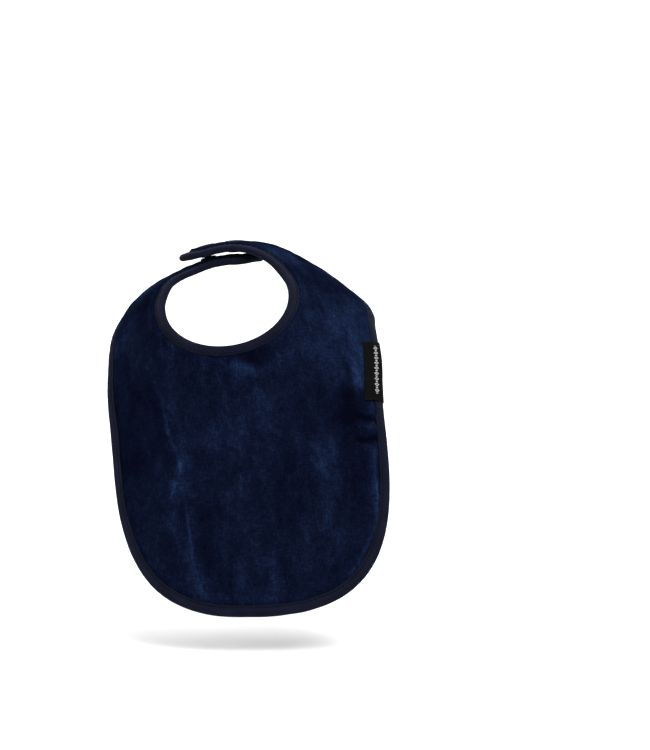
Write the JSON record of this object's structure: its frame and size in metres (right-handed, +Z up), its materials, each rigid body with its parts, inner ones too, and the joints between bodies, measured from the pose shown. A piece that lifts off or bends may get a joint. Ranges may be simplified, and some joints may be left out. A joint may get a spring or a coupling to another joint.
{
  "type": "baby bib",
  "caption": "Soft layered fabric baby bib with bound edges, a folded side label and an overlapping press-stud closure behind the neck, in its worn, draped shape.",
  "frame": {"origin": "centre of the neck opening's ring, on the neckline", "axes": "+Z up as worn; the apron hangs down and faces -Y; +X is the side that carries the folded woven label (the wearer's left)"},
  "size_m": [0.181, 0.1799, 0.2284],
  "materials": {
    "velour": "brushed cotton velour, navy, directional nap",
    "towelling": "absorbent loop-pile cotton",
    "waterproof_backing": "coated woven nylon, low sheen",
    "binding_tape": "matte bias-cut cotton tape",
    "thread": "spun polyester sewing thread",
    "side_label": "woven satin label, plain border and dash pattern",
    "care_label": "white satin tape, blank",
    "stay_fabric": "non-woven interfacing",
    "stud_cap": "moulded acetal, satin",
    "stud_body": "moulded acetal, satin"
  },
  "bodies": {
    "panel": {"neck_binding": "binding_tape", "neck_bobbin_thread": "thread", "neck_needle_thread": "thread", "outer_binding": "binding_tape", "outer_bobbin_thread": "thread", "outer_needle_thread": "thread", "side_label": "side_label", "side_label_thread": "thread", "towelling_core": "towelling", "velour_panel": "velour", "waterproof_backing": "waterproof_backing"},
    "right_tab": {"right_tab_backing": "waterproof_backing", "right_tab_binding": "binding_tape", "right_tab_bobbin_thread": "thread", "right_tab_core": "towelling", "right_tab_needle_thread": "thread", "right_tab_stay_patch": "stay_fabric", "right_tab_velour": "velour", "socket_cap_spare": "stud_cap", "socket_cap_tip": "stud_cap", "socket_spare": "stud_body", "socket_tip": "stud_body"},
    "left_tab": {"left_tab_backing": "waterproof_backing", "left_tab_binding": "binding_tape", "left_tab_bobbin_thread": "thread", "left_tab_core": "towelling", "left_tab_needle_thread": "thread", "left_tab_stay_patch": "stay_fabric", "left_tab_velour": "velour", "stud": "stud_body", "stud_cap": "stud_cap"},
    "care_label_flap": {"care_label": "care_label"}
  },
  "joints": [
    {"name": "right_tab_open", "type": "hinge", "parent": "panel", "child": "right_tab", "pos_m": [0.03058, 0.01687, 0.02912], "axis": [0.6489, 0.7497, -0.1303], "range_deg": [0, 150], "stiffness_Nm_per_rad": 0.004},
    {"name": "left_tab_open", "type": "hinge", "parent": "panel", "child": "left_tab", "pos_m": [-0.03646, 0.0179, 0.017], "axis": [0.5676, -0.7552, 0.3279], "range_deg": [0, 90], "stiffness_Nm_per_rad": 0.004},
    {"name": "care_label_flip", "type": "hinge", "parent": "panel", "child": "care_label_flap", "pos_m": [-0.05909, -0.04356, -0.11864], "axis": [-0.3245, 0.5651, 0.7586], "range_deg": [0, 150], "stiffness_Nm_per_rad": 0.0005}
  ],
  "couplings": [
    {"joint": "left_tab_open", "follows": "right_tab_open", "ratio": 0.6}
  ]
}
